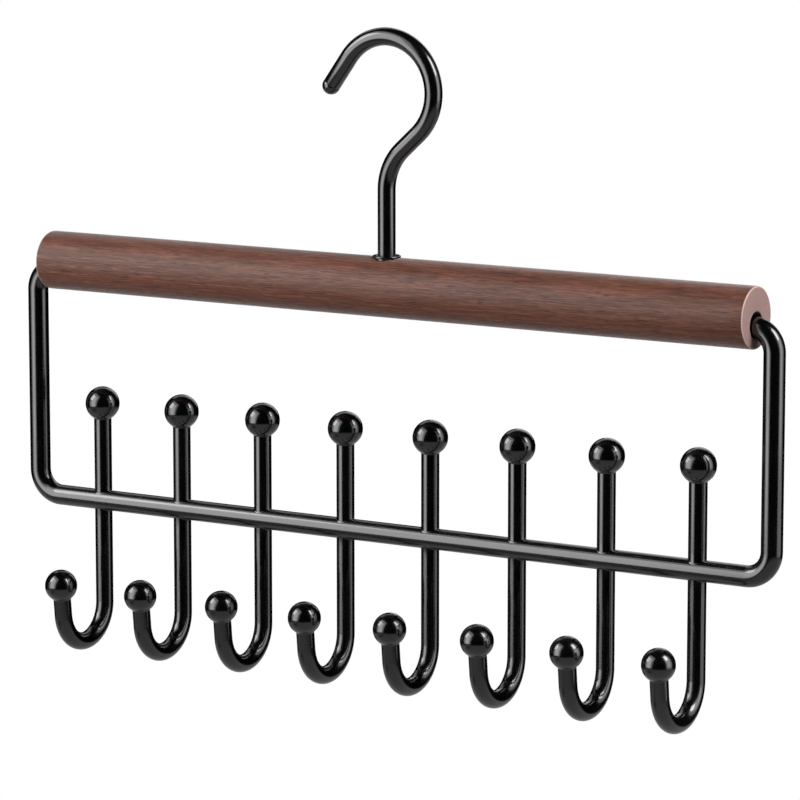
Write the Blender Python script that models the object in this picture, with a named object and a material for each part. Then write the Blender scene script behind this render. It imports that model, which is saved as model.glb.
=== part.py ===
"""Delicates hanger: a wooden bar on a swivelling hook, with a loose steel frame that carries
eight pegs and eight J hooks, each tipped with a ball.

Run with: blender --background --python part.py
Units are metres, +Z is up and the J hooks open towards -Y. The origin is the saddle of the
top hook, the inside of its crown, which rests on a closet rod.
"""

import math

import bmesh
import bpy
from mathutils import Vector

# Wooden bar, with an off-centre bore in each end face
BAR_DIAMETER = 0.0240
BAR_LENGTH = 0.3270
BAR_EDGE_CHAMFER = 0.0008
BORE_DROP = 0.0028
BORE_SLACK = 0.0018
BORE_END_ROOM = 0.0080
BORE_MOUTH_CHAMFER = 0.0008

# Frame rod
ROD_DIAMETER = 0.0084
ROD_GRIP = 0.0220
ROD_END_CHAMFER = 0.0006
BEND_INSET = 0.0018
TOP_BEND_RADIUS = 0.0095
CORNER_BEND_RADIUS = 0.0105
FRAME_DROP = 0.0988

# Pegs and J hooks, welded above and below the crossbar in one row
HOOK_COUNT = 8
ROW_MARGIN = 0.0319
WIRE_DIAMETER = 0.0072
WIRE_END_CHAMFER = 0.0005
PEG_RISE = 0.0404
HOOK_BEND_DROP = 0.0427
HOOK_BEND_RADIUS = 0.0145
HOOK_BEND_SWEEP = 174.0
TIP_RUN = 0.0130

# Balls on the free ends of the pegs and the J hooks
PEG_BALL_DIAMETER = 0.0141
TIP_BALL_DIAMETER = 0.0132

# Top hook
TOP_WIRE_DIAMETER = 0.0071
ARC_INNER_DIAMETER = 0.0360
SHANK_RISE = 0.0386
SHANK_BEND_RADIUS = 0.0216
SHANK_LEAN = 48.0
TIP_LEAN = 36.0
TOP_TIP_RUN = 0.0142
TIP_DOME_SWEEP = 80.0
HEAD_THICKNESS = 0.0022
HEAD_CHAMFER = 0.0005
HEAD_END_ROOM = 0.0012

# Ferrule, a flanged bush pressed in the top of the bar over the hook's head
FERRULE_WALL = 0.0008
FERRULE_SLEEVE_LENGTH = 0.0080
FLANGE_OVERHANG = 0.0010
FLANGE_THICKNESS = 0.0011
FLANGE_ROUNDING = 0.0005
SPOT_FACE_DEPTH = 0.0007

# Gap between pieces that touch, and how far a cutter runs past what it cuts
CLEARANCE = 0.0003
OVERRUN = 0.0030

# Facets: sides of each round section, and degrees of bend for each step along a wire
BAR_SIDES = 40
ROD_SIDES = 16
WIRE_SIDES = 12
SADDLE_SIDES = 32
BALL_SIDES = 16
BALL_ROWS = 7
DOME_ROWS = 4
ROUNDING_ROWS = 3
FERRULE_SIDES = 24
BEND_STEP_DEGREES = 12.0
SHARP_EDGE_DEGREES = 40.0

# Radii of the ferrule and of the hole that holds it and the hook's head
FERRULE_BORE_RADIUS = TOP_WIRE_DIAMETER / 2 + CLEARANCE
SLEEVE_RADIUS = FERRULE_BORE_RADIUS + FERRULE_WALL
FLANGE_RADIUS = SLEEVE_RADIUS + FLANGE_OVERHANG
HOLE_RADIUS = SLEEVE_RADIUS + CLEARANCE

# Rise of the top hook's arc over the bar's axis: its sloping run is as long as it takes to
# bring the arc's centre back over the shank
ARC_RADIUS = (ARC_INNER_DIAMETER + TOP_WIRE_DIAMETER) / 2
LEAN = math.radians(SHANK_LEAN)
SLOPE_RUN = (
    ARC_RADIUS * math.cos(LEAN) - SHANK_BEND_RADIUS * (1 - math.cos(LEAN))
) / math.sin(LEAN)
ARC_CENTRE_RISE = (
    SHANK_RISE
    + (SHANK_BEND_RADIUS + ARC_RADIUS) * math.sin(LEAN)
    + SLOPE_RUN * math.cos(LEAN)
)

# Heights below the saddle
BAR_Z = -(ARC_CENTRE_RISE + ARC_INNER_DIAMETER / 2)
SPOT_FACE_Z = BAR_Z + BAR_DIAMETER / 2 - SPOT_FACE_DEPTH
FLANGE_Z = SPOT_FACE_Z + CLEARANCE
HEAD_TOP_Z = FLANGE_Z - FERRULE_SLEEVE_LENGTH - CLEARANCE
HOLE_FLOOR_Z = HEAD_TOP_Z - HEAD_THICKNESS - HEAD_END_ROOM
BORE_Z = BAR_Z - BORE_DROP
PIVOT_Z = BORE_Z - (BORE_SLACK / 2 - CLEARANCE)
CROSSBAR_Z = BAR_Z - FRAME_DROP

# Places along and across the bar: the row lies flush with the back of the crossbar
LEG_X = BAR_LENGTH / 2 - BEND_INSET + TOP_BEND_RADIUS
ROW_HALF = LEG_X - ROW_MARGIN
ROW_Y = (ROD_DIAMETER - WIRE_DIAMETER) / 2


def clear_scene():
    """Remove every object and mesh that the file starts with."""
    for obj in list(bpy.data.objects):
        bpy.data.objects.remove(obj, do_unlink=True)
    for mesh in list(bpy.data.meshes):
        bpy.data.meshes.remove(mesh)


def make_material(name, colour, roughness, metallic):
    """A plain surface of one colour (linear RGB)."""
    mat = bpy.data.materials.new(name)
    mat.use_nodes = True
    shader = mat.node_tree.nodes["Principled BSDF"]
    shader.inputs["Base Color"].default_value = (*colour, 1.0)
    shader.inputs["Roughness"].default_value = roughness
    shader.inputs["Metallic"].default_value = metallic
    mat.diffuse_color = (*colour, 1.0)
    return mat


def place(obj, location, parent):
    """Put an object at a world place and hang it on its parent, which is unturned."""
    obj.location = location
    if parent is not None:
        obj.parent = parent
        bpy.context.view_layer.update()
        obj.matrix_parent_inverse = parent.matrix_world.inverted()


def add_empty(name, location, parent=None):
    """An empty on a joint's axis, which carries the pieces that turn on it."""
    empty = bpy.data.objects.new(name, None)
    bpy.context.collection.objects.link(empty)
    place(empty, location, parent)
    return empty


def add_piece(name, mesh, mat, location, parent=None, turn=(0.0, 0.0, 0.0)):
    """One sub-part: a smooth-shaded object with one material."""
    if not mesh.materials:
        mesh.materials.append(mat)
    mesh.shade_smooth()
    mesh.set_sharp_from_angle(angle=math.radians(SHARP_EDGE_DEGREES))
    obj = bpy.data.objects.new(name, mesh)
    bpy.context.collection.objects.link(obj)
    obj.rotation_euler = turn
    place(obj, location, parent)
    return obj


def cut(target, cutter):
    """Take a cutter's shape out of a piece, and keep the cutter as a wire guide."""
    cutter.hide_render = True
    cutter.display_type = "WIRE"
    modifier = target.modifiers.new(cutter.name, "BOOLEAN")
    modifier.operation = "DIFFERENCE"
    modifier.object = cutter


def finish_mesh(bm, name):
    """Turn a closed bmesh into a mesh with its faces pointing out."""
    bmesh.ops.recalc_face_normals(bm, faces=bm.faces)
    mesh = bpy.data.meshes.new(name)
    bm.to_mesh(mesh)
    bm.free()
    return mesh


def turned_mesh(name, profile, sides):
    """Spin a profile of (radius, height) points about Z. It runs from the axis back to the
    axis, or round a ring that stays clear of the axis."""
    bm = bmesh.new()
    verts = [bm.verts.new((radius, 0.0, height)) for radius, height in profile]
    pairs = list(zip(verts, verts[1:]))
    if profile[0][0] > 0.0:
        pairs.append((verts[-1], verts[0]))
    edges = [bm.edges.new(pair) for pair in pairs]
    bmesh.ops.spin(
        bm,
        geom=verts + edges,
        cent=(0.0, 0.0, 0.0),
        axis=(0.0, 0.0, 1.0),
        angle=math.tau,
        steps=sides,
        use_merge=True,
    )
    on_axis = [vert for vert in bm.verts if vert.co.xy.length < CLEARANCE / 10]
    bmesh.ops.remove_doubles(bm, verts=on_axis, dist=CLEARANCE / 10)
    return finish_mesh(bm, name)


def rounded_rim(radius, bottom, top, rounding):
    """Profile points of a rim with both of its edges rounded, from the bottom up."""
    points = []
    for height, start in ((bottom + rounding, -90.0), (top - rounding, 0.0)):
        for row in range(ROUNDING_ROWS + 1):
            angle = math.radians(start + 90.0 * row / ROUNDING_ROWS)
            out = radius - rounding + rounding * math.cos(angle)
            points.append((out, height + rounding * math.sin(angle)))
    return points


def bend_wire(start, heading, side, moves, radius):
    """Bend a wire as a bending machine does. heading is its first direction and side is the
    way that a positive bend turns it. Each move is a (run, bend radius, degrees). Gives the
    wire's stations, each a (point, direction, radius)."""
    point = Vector(start)
    along = Vector(heading)
    across = Vector(side)
    stations = [(point.copy(), along.copy(), radius)]
    for run, bend_radius, degrees in moves:
        point = point + along * run
        stations.append((point.copy(), along.copy(), radius))
        steps = math.ceil(abs(degrees) / BEND_STEP_DEGREES)
        sense = math.copysign(1.0, degrees)
        centre = point + across * sense * bend_radius
        old_along, old_across = along, across
        for step in range(1, steps + 1):
            turn = math.radians(degrees) * step / steps
            along = old_along * math.cos(turn) + old_across * math.sin(turn)
            across = old_across * math.cos(turn) - old_along * math.sin(turn)
            point = centre - across * sense * bend_radius
            stations.append((point.copy(), along.copy(), radius))
    return stations


def chamfer_end(stations, chamfer):
    """Chamfer the last end of a wire."""
    point, along, radius = stations.pop()
    stations.append((point - along * chamfer, along, radius))
    stations.append((point, along, radius - chamfer))


def dome_end(stations):
    """Close the last end of a wire with a dome of its own radius."""
    point, along, radius = stations[-1]
    for row in range(1, DOME_ROWS + 1):
        angle = math.radians(TIP_DOME_SWEEP) * row / DOME_ROWS
        reach = radius * math.sin(angle)
        stations.append((point + along * reach, along, radius * math.cos(angle)))


def reversed_wire(stations):
    """The same wire, walked from its other end."""
    return [(point, -along, radius) for point, along, radius in reversed(stations)]


def wire_mesh(name, stations, normal, sides):
    """Skin the stations of a wire that lies in the plane square to normal."""
    bm = bmesh.new()
    rings = []
    for point, along, radius in stations:
        out = along.cross(normal).normalized()
        ring = []
        for side in range(sides):
            angle = math.tau * side / sides
            spoke = out * math.cos(angle) + normal * math.sin(angle)
            ring.append(bm.verts.new(point + spoke * radius))
        rings.append(ring)
    for ring, next_ring in zip(rings, rings[1:]):
        for side in range(sides):
            after = (side + 1) % sides
            bm.faces.new((ring[side], ring[after], next_ring[after], next_ring[side]))
    bm.faces.new(rings[0])
    bm.faces.new(rings[-1])
    return finish_mesh(bm, name)


def make_bar(mat, parent):
    """Turned wooden bar with chamfered ends, bored for the frame and for the top hook."""
    half = BAR_LENGTH / 2
    radius = BAR_DIAMETER / 2
    profile = [
        (0.0, -half),
        (radius - BAR_EDGE_CHAMFER, -half),
        (radius, -half + BAR_EDGE_CHAMFER),
        (radius, half - BAR_EDGE_CHAMFER),
        (radius - BAR_EDGE_CHAMFER, half),
        (0.0, half),
    ]
    mesh = turned_mesh("wooden_bar", profile, BAR_SIDES)
    along_x = (0.0, math.pi / 2, 0.0)
    bar = add_piece("wooden_bar", mesh, mat, (0.0, 0.0, BAR_Z), parent, along_x)
    cut(bar, make_bore_cutter("left_bore_cutter", -1, mat, parent))
    cut(bar, make_bore_cutter("right_bore_cutter", 1, mat, parent))
    cut(bar, make_hook_hole_cutter(mat, parent))


def make_bore_cutter(name, end, mat, parent):
    """Blind bore for one end of the frame rod, with a chamfered mouth."""
    radius = (ROD_DIAMETER + BORE_SLACK) / 2
    mouth = radius + BORE_MOUTH_CHAMFER
    floor = -(ROD_GRIP + BORE_END_ROOM)
    profile = [
        (0.0, floor),
        (radius, floor),
        (radius, -BORE_MOUTH_CHAMFER),
        (mouth, 0.0),
        (mouth, OVERRUN),
        (0.0, OVERRUN),
    ]
    mesh = turned_mesh(name, profile, BAR_SIDES)
    end_face = (end * BAR_LENGTH / 2, 0.0, BORE_Z)
    return add_piece(name, mesh, mat, end_face, parent, (0.0, end * math.pi / 2, 0.0))


def make_hook_hole_cutter(mat, parent):
    """Blind hole in the bar's crown for the hook's head and the ferrule's sleeve, with a
    shallow spot face for the ferrule's flange."""
    face_radius = FLANGE_RADIUS + CLEARANCE
    top = SPOT_FACE_DEPTH + OVERRUN
    profile = [
        (0.0, HOLE_FLOOR_Z - SPOT_FACE_Z),
        (HOLE_RADIUS, HOLE_FLOOR_Z - SPOT_FACE_Z),
        (HOLE_RADIUS, 0.0),
        (face_radius, 0.0),
        (face_radius, top),
        (0.0, top),
    ]
    mesh = turned_mesh("hook_hole_cutter", profile, FERRULE_SIDES)
    return add_piece("hook_hole_cutter", mesh, mat, (0.0, 0.0, SPOT_FACE_Z), parent)


def make_ferrule(mat, parent):
    """Flanged bush: its sleeve lines the hole over the hook's head and keeps the head in."""
    profile = [
        (FERRULE_BORE_RADIUS, -FERRULE_SLEEVE_LENGTH),
        (SLEEVE_RADIUS, -FERRULE_SLEEVE_LENGTH),
        (SLEEVE_RADIUS, 0.0),
        *rounded_rim(FLANGE_RADIUS, 0.0, FLANGE_THICKNESS, FLANGE_ROUNDING),
        (FERRULE_BORE_RADIUS, FLANGE_THICKNESS),
    ]
    mesh = turned_mesh("hook_ferrule", profile, FERRULE_SIDES)
    add_piece("hook_ferrule", mesh, mat, (0.0, 0.0, FLANGE_Z), parent)


def make_top_hook(mat):
    """Question-mark hook of one wire: an upset head under the ferrule, a straight shank, a
    bend out to one side, the crown's arc back over the shank, and a domed tip."""
    up = Vector((0.0, 0.0, 1.0))
    head_top = Vector((0.0, 0.0, HEAD_TOP_Z))
    foot = head_top - up * HEAD_THICKNESS
    moves = [
        (BAR_Z + SHANK_RISE - HEAD_TOP_Z, SHANK_BEND_RADIUS, SHANK_LEAN),
        (SLOPE_RUN, ARC_RADIUS, TIP_LEAN - SHANK_LEAN - 180.0),
        (TOP_TIP_RUN, 0.0, 0.0),
    ]
    wire = bend_wire(head_top, up, (1.0, 0.0, 0.0), moves, TOP_WIRE_DIAMETER / 2)
    dome_end(wire)
    head = [
        (foot, up, SLEEVE_RADIUS - HEAD_CHAMFER),
        (foot + up * HEAD_CHAMFER, up, SLEEVE_RADIUS),
        (head_top, up, SLEEVE_RADIUS),
    ]
    mesh = wire_mesh("top_hook", head + wire, Vector((0.0, 1.0, 0.0)), ROD_SIDES)
    add_piece("top_hook", mesh, mat, (0.0, 0.0, 0.0))


def make_frame_rod(mat, parent):
    """One steel rod bent at four places into an end in each bore, two legs and a crossbar.
    The top bends begin just inside the bores' mouths."""
    inner_x = BAR_LENGTH / 2 - ROD_GRIP
    grip = ROD_GRIP - BEND_INSET
    leg = PIVOT_Z - CROSSBAR_Z - TOP_BEND_RADIUS - CORNER_BEND_RADIUS
    crossbar = 2 * (LEG_X - CORNER_BEND_RADIUS)
    moves = [
        (grip, TOP_BEND_RADIUS, 90.0),
        (leg, CORNER_BEND_RADIUS, 90.0),
        (crossbar, CORNER_BEND_RADIUS, 90.0),
        (leg, TOP_BEND_RADIUS, 90.0),
        (grip, 0.0, 0.0),
    ]
    down = (0.0, 0.0, -1.0)
    rod = bend_wire((-inner_x, 0.0, 0.0), (-1.0, 0.0, 0.0), down, moves, ROD_DIAMETER / 2)
    chamfer_end(rod, ROD_END_CHAMFER)
    rod = reversed_wire(rod)
    chamfer_end(rod, ROD_END_CHAMFER)
    mesh = wire_mesh("frame_rod", rod, Vector((0.0, 1.0, 0.0)), ROD_SIDES)
    add_piece("frame_rod", mesh, mat, (0.0, 0.0, PIVOT_Z), parent)


def make_saddle_cutter(mat, parent):
    """Cylinder round the crossbar that hollows the welded ends of the pegs and J hooks."""
    radius = ROD_DIAMETER / 2 + CLEARANCE
    half = ROW_HALF + WIRE_DIAMETER / 2 + OVERRUN
    profile = [(0.0, -half), (radius, -half), (radius, half), (0.0, half)]
    mesh = turned_mesh("saddle_cutter", profile, SADDLE_SIDES)
    along_x = (0.0, math.pi / 2, 0.0)
    return add_piece("saddle_cutter", mesh, mat, (0.0, 0.0, CROSSBAR_Z), parent, along_x)


def peg_wire():
    """Stations of a peg, from the crossbar up to the centre of its ball. The point level
    with the crossbar's axis is its origin."""
    moves = [(PEG_RISE - CLEARANCE, 0.0, 0.0)]
    up = (0.0, 0.0, 1.0)
    wire = bend_wire((0.0, 0.0, CLEARANCE), up, (0.0, -1.0, 0.0), moves, WIRE_DIAMETER / 2)
    chamfer_end(wire, WIRE_END_CHAMFER)
    return wire


def j_hook_wire():
    """Stations of a J hook, from the crossbar down, round the bend and up to the centre of
    its ball, about the same origin as the peg's."""
    moves = [
        (HOOK_BEND_DROP - CLEARANCE, HOOK_BEND_RADIUS, HOOK_BEND_SWEEP),
        (TIP_RUN, 0.0, 0.0),
    ]
    down = (0.0, 0.0, -1.0)
    wire = bend_wire((0.0, 0.0, -CLEARANCE), down, (0.0, -1.0, 0.0), moves, WIRE_DIAMETER / 2)
    chamfer_end(wire, WIRE_END_CHAMFER)
    return wire


def ball_mesh(name, diameter):
    """Steel ball with a blind socket drilled from below to just past its centre."""
    radius = diameter / 2
    socket = WIRE_DIAMETER / 2 + CLEARANCE
    mouth = math.asin(socket / radius)
    profile = [(0.0, CLEARANCE), (socket, CLEARANCE)]
    for row in range(BALL_ROWS):
        angle = mouth + (math.pi - mouth) * row / BALL_ROWS
        profile.append((radius * math.sin(angle), -radius * math.cos(angle)))
    profile.append((0.0, radius))
    return turned_mesh(name, profile, BALL_SIDES)


def make_row(mat, parent):
    """The row of pegs and J hooks with their balls, evenly spaced along the crossbar."""
    in_plane = Vector((1.0, 0.0, 0.0))
    peg_shape = wire_mesh("peg", peg_wire(), in_plane, WIRE_SIDES)
    hook_stations = j_hook_wire()
    hook_shape = wire_mesh("j_hook", hook_stations, in_plane, WIRE_SIDES)
    peg_ball_shape = ball_mesh("peg_ball", PEG_BALL_DIAMETER)
    tip_ball_shape = ball_mesh("tip_ball", TIP_BALL_DIAMETER)
    tip_point, tip_along, _ = hook_stations[-1]
    tip_turn = (math.atan2(-tip_along.y, tip_along.z), 0.0, 0.0)
    saddle = make_saddle_cutter(mat, parent)
    for index in range(HOOK_COUNT):
        number = index + 1
        x = ROW_HALF * (2 * index / (HOOK_COUNT - 1) - 1)
        seat = Vector((x, ROW_Y, CROSSBAR_Z))
        ball_seat = seat + Vector((0.0, 0.0, PEG_RISE))
        cut(add_piece(f"peg_{number}", peg_shape, mat, seat, parent), saddle)
        cut(add_piece(f"j_hook_{number}", hook_shape, mat, seat, parent), saddle)
        add_piece(f"peg_ball_{number}", peg_ball_shape, mat, ball_seat, parent)
        tip_seat = seat + tip_point
        add_piece(f"tip_ball_{number}", tip_ball_shape, mat, tip_seat, parent, tip_turn)


def build():
    clear_scene()
    walnut = make_material("stained_walnut", (0.150, 0.058, 0.042), 0.42, 0.0)
    enamel = make_material("black_enamel", (0.010, 0.010, 0.010), 0.16, 0.0)
    bar_swivel = add_empty("bar_swivel", (0.0, 0.0, BAR_Z))
    frame_pivot = add_empty("frame_pivot", (0.0, 0.0, PIVOT_Z), bar_swivel)
    make_top_hook(enamel)
    make_bar(walnut, bar_swivel)
    make_ferrule(enamel, bar_swivel)
    make_frame_rod(enamel, frame_pivot)
    make_row(enamel, frame_pivot)


build()
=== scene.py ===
import math

import bmesh
import bpy
from mathutils import Matrix, Vector


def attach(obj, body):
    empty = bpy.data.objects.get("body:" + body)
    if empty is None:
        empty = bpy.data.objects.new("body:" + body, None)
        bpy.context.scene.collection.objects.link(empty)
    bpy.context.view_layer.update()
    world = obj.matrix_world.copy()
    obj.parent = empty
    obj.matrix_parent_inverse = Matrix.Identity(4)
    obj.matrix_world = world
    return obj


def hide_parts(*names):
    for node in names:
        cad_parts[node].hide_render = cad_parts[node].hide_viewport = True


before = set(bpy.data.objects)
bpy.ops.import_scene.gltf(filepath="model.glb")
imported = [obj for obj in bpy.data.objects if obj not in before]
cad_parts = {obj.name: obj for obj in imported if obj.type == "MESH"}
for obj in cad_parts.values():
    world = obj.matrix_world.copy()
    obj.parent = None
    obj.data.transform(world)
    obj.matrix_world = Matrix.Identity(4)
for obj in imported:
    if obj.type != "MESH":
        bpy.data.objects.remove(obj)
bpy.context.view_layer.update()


# Top hook
# The hook is one 7 mm steel wire, bent to a question mark and stove-enamelled gloss black. Its
# foot is upset to a head that stays in the bar's blind hole, and its tip wears a small domed
# cap, so the bar turns freely on the shank.
TOP_WIRE_DIAMETER = 0.0071
SADDLE_DIAMETER = 0.0360
SHANK_RUN = 0.0353
SHANK_BEND = 0.0216
SHANK_LEAN = 48.0
TIP_LEAN = 36.0
TIP_RUN = 0.0142
HEAD_THICKNESS = 0.0022
HEAD_SHARE = 1.30
CAP_SEAM_WIDTH = 0.00035
CAP_SEAM_SHARE = 0.955
CAP_SKIRT = 0.0006
DOME_DEGREES = 80.0
DOME_STEPS = 9
BEND_STEP = 3.0
HOOK_SIDES = 48
SHARP = math.radians(38.0)
UP = Vector((0.0, 0.0, 1.0))

# The sloping run is as long as it takes to bring the bend's centre back over the shank. The
# origin is the saddle, the inside of the bend's crown, and every height hangs from it.
SADDLE_BEND = (SADDLE_DIAMETER + TOP_WIRE_DIAMETER) / 2
LEAN_SINE = math.sin(math.radians(SHANK_LEAN))
LEAN_COSINE = math.cos(math.radians(SHANK_LEAN))
SLOPE_RUN = (SADDLE_BEND * LEAN_COSINE - SHANK_BEND * (1.0 - LEAN_COSINE)) / LEAN_SINE
BENDS_RISE = (SHANK_BEND + SADDLE_BEND) * LEAN_SINE + SLOPE_RUN * LEAN_COSINE
SHANK_TOP_Z = -(SADDLE_DIAMETER / 2 + BENDS_RISE)
HEAD_TOP_Z = SHANK_TOP_Z - SHANK_RUN
HEAD_FOOT_Z = HEAD_TOP_Z - HEAD_THICKNESS

# Enamel: colours, roughness, how often its patterns repeat in a metre, and the levels of a
# pattern between which it takes hold
ENAMEL_COLOUR = (0.0022, 0.0022, 0.0023, 1.0)
ENAMEL_WORN = (0.0060, 0.0059, 0.0058, 1.0)
ENAMEL_ROUGHNESS = (0.15, 0.25)
COAT_ROUGHNESS = 0.09
CLOUDY_PATCHES = (85.0, 85.0, 85.0)
WORN_SPECKS = (2600.0, 2600.0, 2600.0)
ORANGE_PEEL = (300.0, 300.0, 300.0)
CLOUDY_LEVELS = (0.30, 0.70)
WORN_LEVELS = (0.60, 0.78)
PEEL_DEPTH = 0.00003


def add_node(tree, kind, **settings):
    """A node of a kind in a tree, with its plain settings."""
    node = tree.nodes.new(kind)
    for name, value in settings.items():
        setattr(node, name, value)
    return node


def feed(tree, node, inputs):
    """Give a node its inputs by name or number, each a plain value or another node's socket."""
    for name, value in inputs.items():
        if isinstance(value, bpy.types.NodeSocket):
            tree.links.new(value, node.inputs[name])
        else:
            node.inputs[name].default_value = value


def grain_noise(tree, coords, repeats, detail, output="Fac"):
    """Noise on the piece's own coordinates. repeats is how often it changes in a metre along
    X, Y and Z."""
    mapping = add_node(tree, "ShaderNodeMapping")
    feed(tree, mapping, {"Vector": coords.outputs["Object"], "Scale": repeats})
    noise = add_node(tree, "ShaderNodeTexNoise")
    feed(tree, noise, {"Vector": mapping.outputs["Vector"], "Scale": 1.0, "Detail": detail})
    return noise.outputs[output]


def spread(tree, value, low, high, to_low, to_high):
    """Map a value's range on to another range, and hold it there."""
    node = add_node(tree, "ShaderNodeMapRange")
    limits = {"From Min": low, "From Max": high, "To Min": to_low, "To Max": to_high}
    feed(tree, node, {"Value": value, **limits})
    return node.outputs["Result"]


def mixed(tree, factor, first, second):
    """A colour that goes from the first to the second as factor rises."""
    mix = add_node(tree, "ShaderNodeMix", data_type="RGBA")
    feed(tree, mix, {"Factor": factor, "A": first, "B": second})
    return mix.outputs["Result"]


def embossed(tree, height, depth, strength):
    """The normal of a surface that is pressed in and out by a pattern."""
    bump = add_node(tree, "ShaderNodeBump")
    feed(tree, bump, {"Height": height, "Distance": depth, "Strength": strength})
    return bump.outputs["Normal"]


def new_finish(name):
    """A material with its node tree, its shader and the piece's own coordinates."""
    mat = bpy.data.materials.new(name)
    mat.use_nodes = True
    tree = mat.node_tree
    return mat, tree, tree.nodes["Principled BSDF"], add_node(tree, "ShaderNodeTexCoord")


def black_enamel():
    """Gloss black stove enamel: a little orange peel, cloudy gloss and worn high spots."""
    mat, tree, shader, coords = new_finish("black_enamel")
    clouds = grain_noise(tree, coords, CLOUDY_PATCHES, 3.0)
    specks = grain_noise(tree, coords, WORN_SPECKS, 2.0)
    peel = grain_noise(tree, coords, ORANGE_PEEL, 1.0)
    worn = spread(tree, specks, *WORN_LEVELS, 0.0, 1.0)
    feed(tree, shader, {
        "Base Color": mixed(tree, worn, ENAMEL_COLOUR, ENAMEL_WORN),
        "Roughness": spread(tree, clouds, *CLOUDY_LEVELS, *ENAMEL_ROUGHNESS),
        "Coat Weight": 1.0,
        "Coat Roughness": COAT_ROUGHNESS,
        "Normal": embossed(tree, peel, PEEL_DEPTH, 1.0),
    })
    return mat


def bend_wire(start, heading, side, moves):
    """Walk a wire as a bending machine makes it: each move is a (run, bend radius, degrees).
    Gives (point, direction) pairs."""
    point, along, across = Vector(start), Vector(heading), Vector(side)
    stations = [(point.copy(), along.copy())]
    for run, radius, degrees in moves:
        point = point + along * run
        stations.append((point.copy(), along.copy()))
        steps = math.ceil(abs(degrees) / BEND_STEP)
        sense = math.copysign(1.0, degrees)
        centre = point + across * sense * radius
        first_along, first_across = along, across
        for step in range(1, steps + 1):
            turn = math.radians(degrees) * step / steps
            along = first_along * math.cos(turn) + first_across * math.sin(turn)
            across = first_across * math.cos(turn) - first_along * math.sin(turn)
            point = centre - across * sense * radius
            stations.append((point.copy(), along.copy()))
    return stations


def add_socket(tree, name, kind, way="INPUT"):
    """A named input or output of a node group."""
    return tree.interface.new_socket(name, in_out=way, socket_type=kind)


def bent_wire_nodes():
    """Geometry nodes that draw a round wire along a path. The path's own radius thins or
    swells the wire, as at a domed tip."""
    tree = bpy.data.node_groups.new("bent_wire", "GeometryNodeTree")
    add_socket(tree, "Path", "NodeSocketGeometry")
    add_socket(tree, "Wire radius", "NodeSocketFloat")
    add_socket(tree, "Sides", "NodeSocketInt")
    add_socket(tree, "Finish", "NodeSocketMaterial")
    add_socket(tree, "Wire", "NodeSocketGeometry", "OUTPUT")
    inputs = add_node(tree, "NodeGroupInput")
    section = add_node(tree, "GeometryNodeCurvePrimitiveCircle")
    width = add_node(tree, "GeometryNodeInputRadius")
    skin = add_node(tree, "GeometryNodeCurveToMesh")
    smooth = add_node(tree, "GeometryNodeSetShadeSmooth")
    real = add_node(tree, "GeometryNodeRealizeInstances")
    finish = add_node(tree, "GeometryNodeSetMaterial")
    result = add_node(tree, "NodeGroupOutput")
    skin.inputs["Fill Caps"].default_value = True
    link = tree.links.new
    link(inputs.outputs["Sides"], section.inputs["Resolution"])
    link(inputs.outputs["Wire radius"], section.inputs["Radius"])
    link(inputs.outputs["Path"], skin.inputs["Curve"])
    link(section.outputs["Curve"], skin.inputs["Profile Curve"])
    link(width.outputs["Radius"], skin.inputs["Scale"])
    link(skin.outputs["Mesh"], smooth.inputs["Geometry"])
    link(smooth.outputs["Geometry"], real.inputs["Geometry"])
    link(real.outputs["Geometry"], finish.inputs["Geometry"])
    link(inputs.outputs["Finish"], finish.inputs["Material"])
    link(finish.outputs["Geometry"], result.inputs["Wire"])
    return tree


def grow(name, source, tree, values):
    """Run a node tree on a source object and keep what it makes as one plain mesh."""
    modifier = source.modifiers.new(tree.name, "NODES")
    modifier.node_group = tree
    sockets = {item.name: item for item in tree.interface.items_tree if item.in_out == "INPUT"}
    for label, value in values.items():
        modifier[sockets[label].identifier] = value
    bpy.context.view_layer.update()
    depsgraph = bpy.context.evaluated_depsgraph_get()
    made = bpy.data.meshes.new_from_object(source.evaluated_get(depsgraph), depsgraph=depsgraph)
    made.name = name
    made.set_sharp_from_angle(angle=SHARP)
    source.modifiers.remove(modifier)
    bpy.data.objects.remove(source, do_unlink=True)
    piece = bpy.data.objects.new(name, made)
    bpy.context.collection.objects.link(piece)
    return piece


def wire_path(name, stations, swells):
    """A poly curve through a wire's stations. swells gives the wire's width at each station
    as a share of its plain width."""
    curve = bpy.data.curves.new(name, "CURVE")
    curve.dimensions = "3D"
    spline = curve.splines.new("POLY")
    spline.points.add(len(stations) - 1)
    for point, station, swell in zip(spline.points, stations, swells):
        point.co = (*station[0], 1.0)
        point.radius = swell
    path = bpy.data.objects.new(name, curve)
    bpy.context.collection.objects.link(path)
    return path


def top_hook_stations():
    """The hook's stations and widths, from its upset head to the dome of its cap."""
    head_top = UP * HEAD_TOP_Z
    shank = [
        (SHANK_RUN, SHANK_BEND, SHANK_LEAN),
        (SLOPE_RUN, SADDLE_BEND, TIP_LEAN - SHANK_LEAN - 180.0),
        (TIP_RUN - CAP_SKIRT - 2 * CAP_SEAM_WIDTH, 0.0, 0.0),
    ]
    wire = bend_wire(head_top, UP, (1.0, 0.0, 0.0), shank)
    stations = [(UP * HEAD_FOOT_Z, UP), (head_top, UP), *wire]
    widths = [HEAD_SHARE, HEAD_SHARE, *([1.0] * len(wire))]
    point, along = wire[-1]
    for step, width in ((1, CAP_SEAM_SHARE), (2, 1.0)):
        stations.append((point + along * CAP_SEAM_WIDTH * step, along))
        widths.append(width)
    dome_foot = stations[-1][0] + along * CAP_SKIRT
    for step in range(DOME_STEPS + 1):
        turn = math.radians(DOME_DEGREES) * step / DOME_STEPS
        stations.append((dome_foot + along * math.sin(turn) * TOP_WIRE_DIAMETER / 2, along))
        widths.append(math.cos(turn))
    return stations, widths


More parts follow.
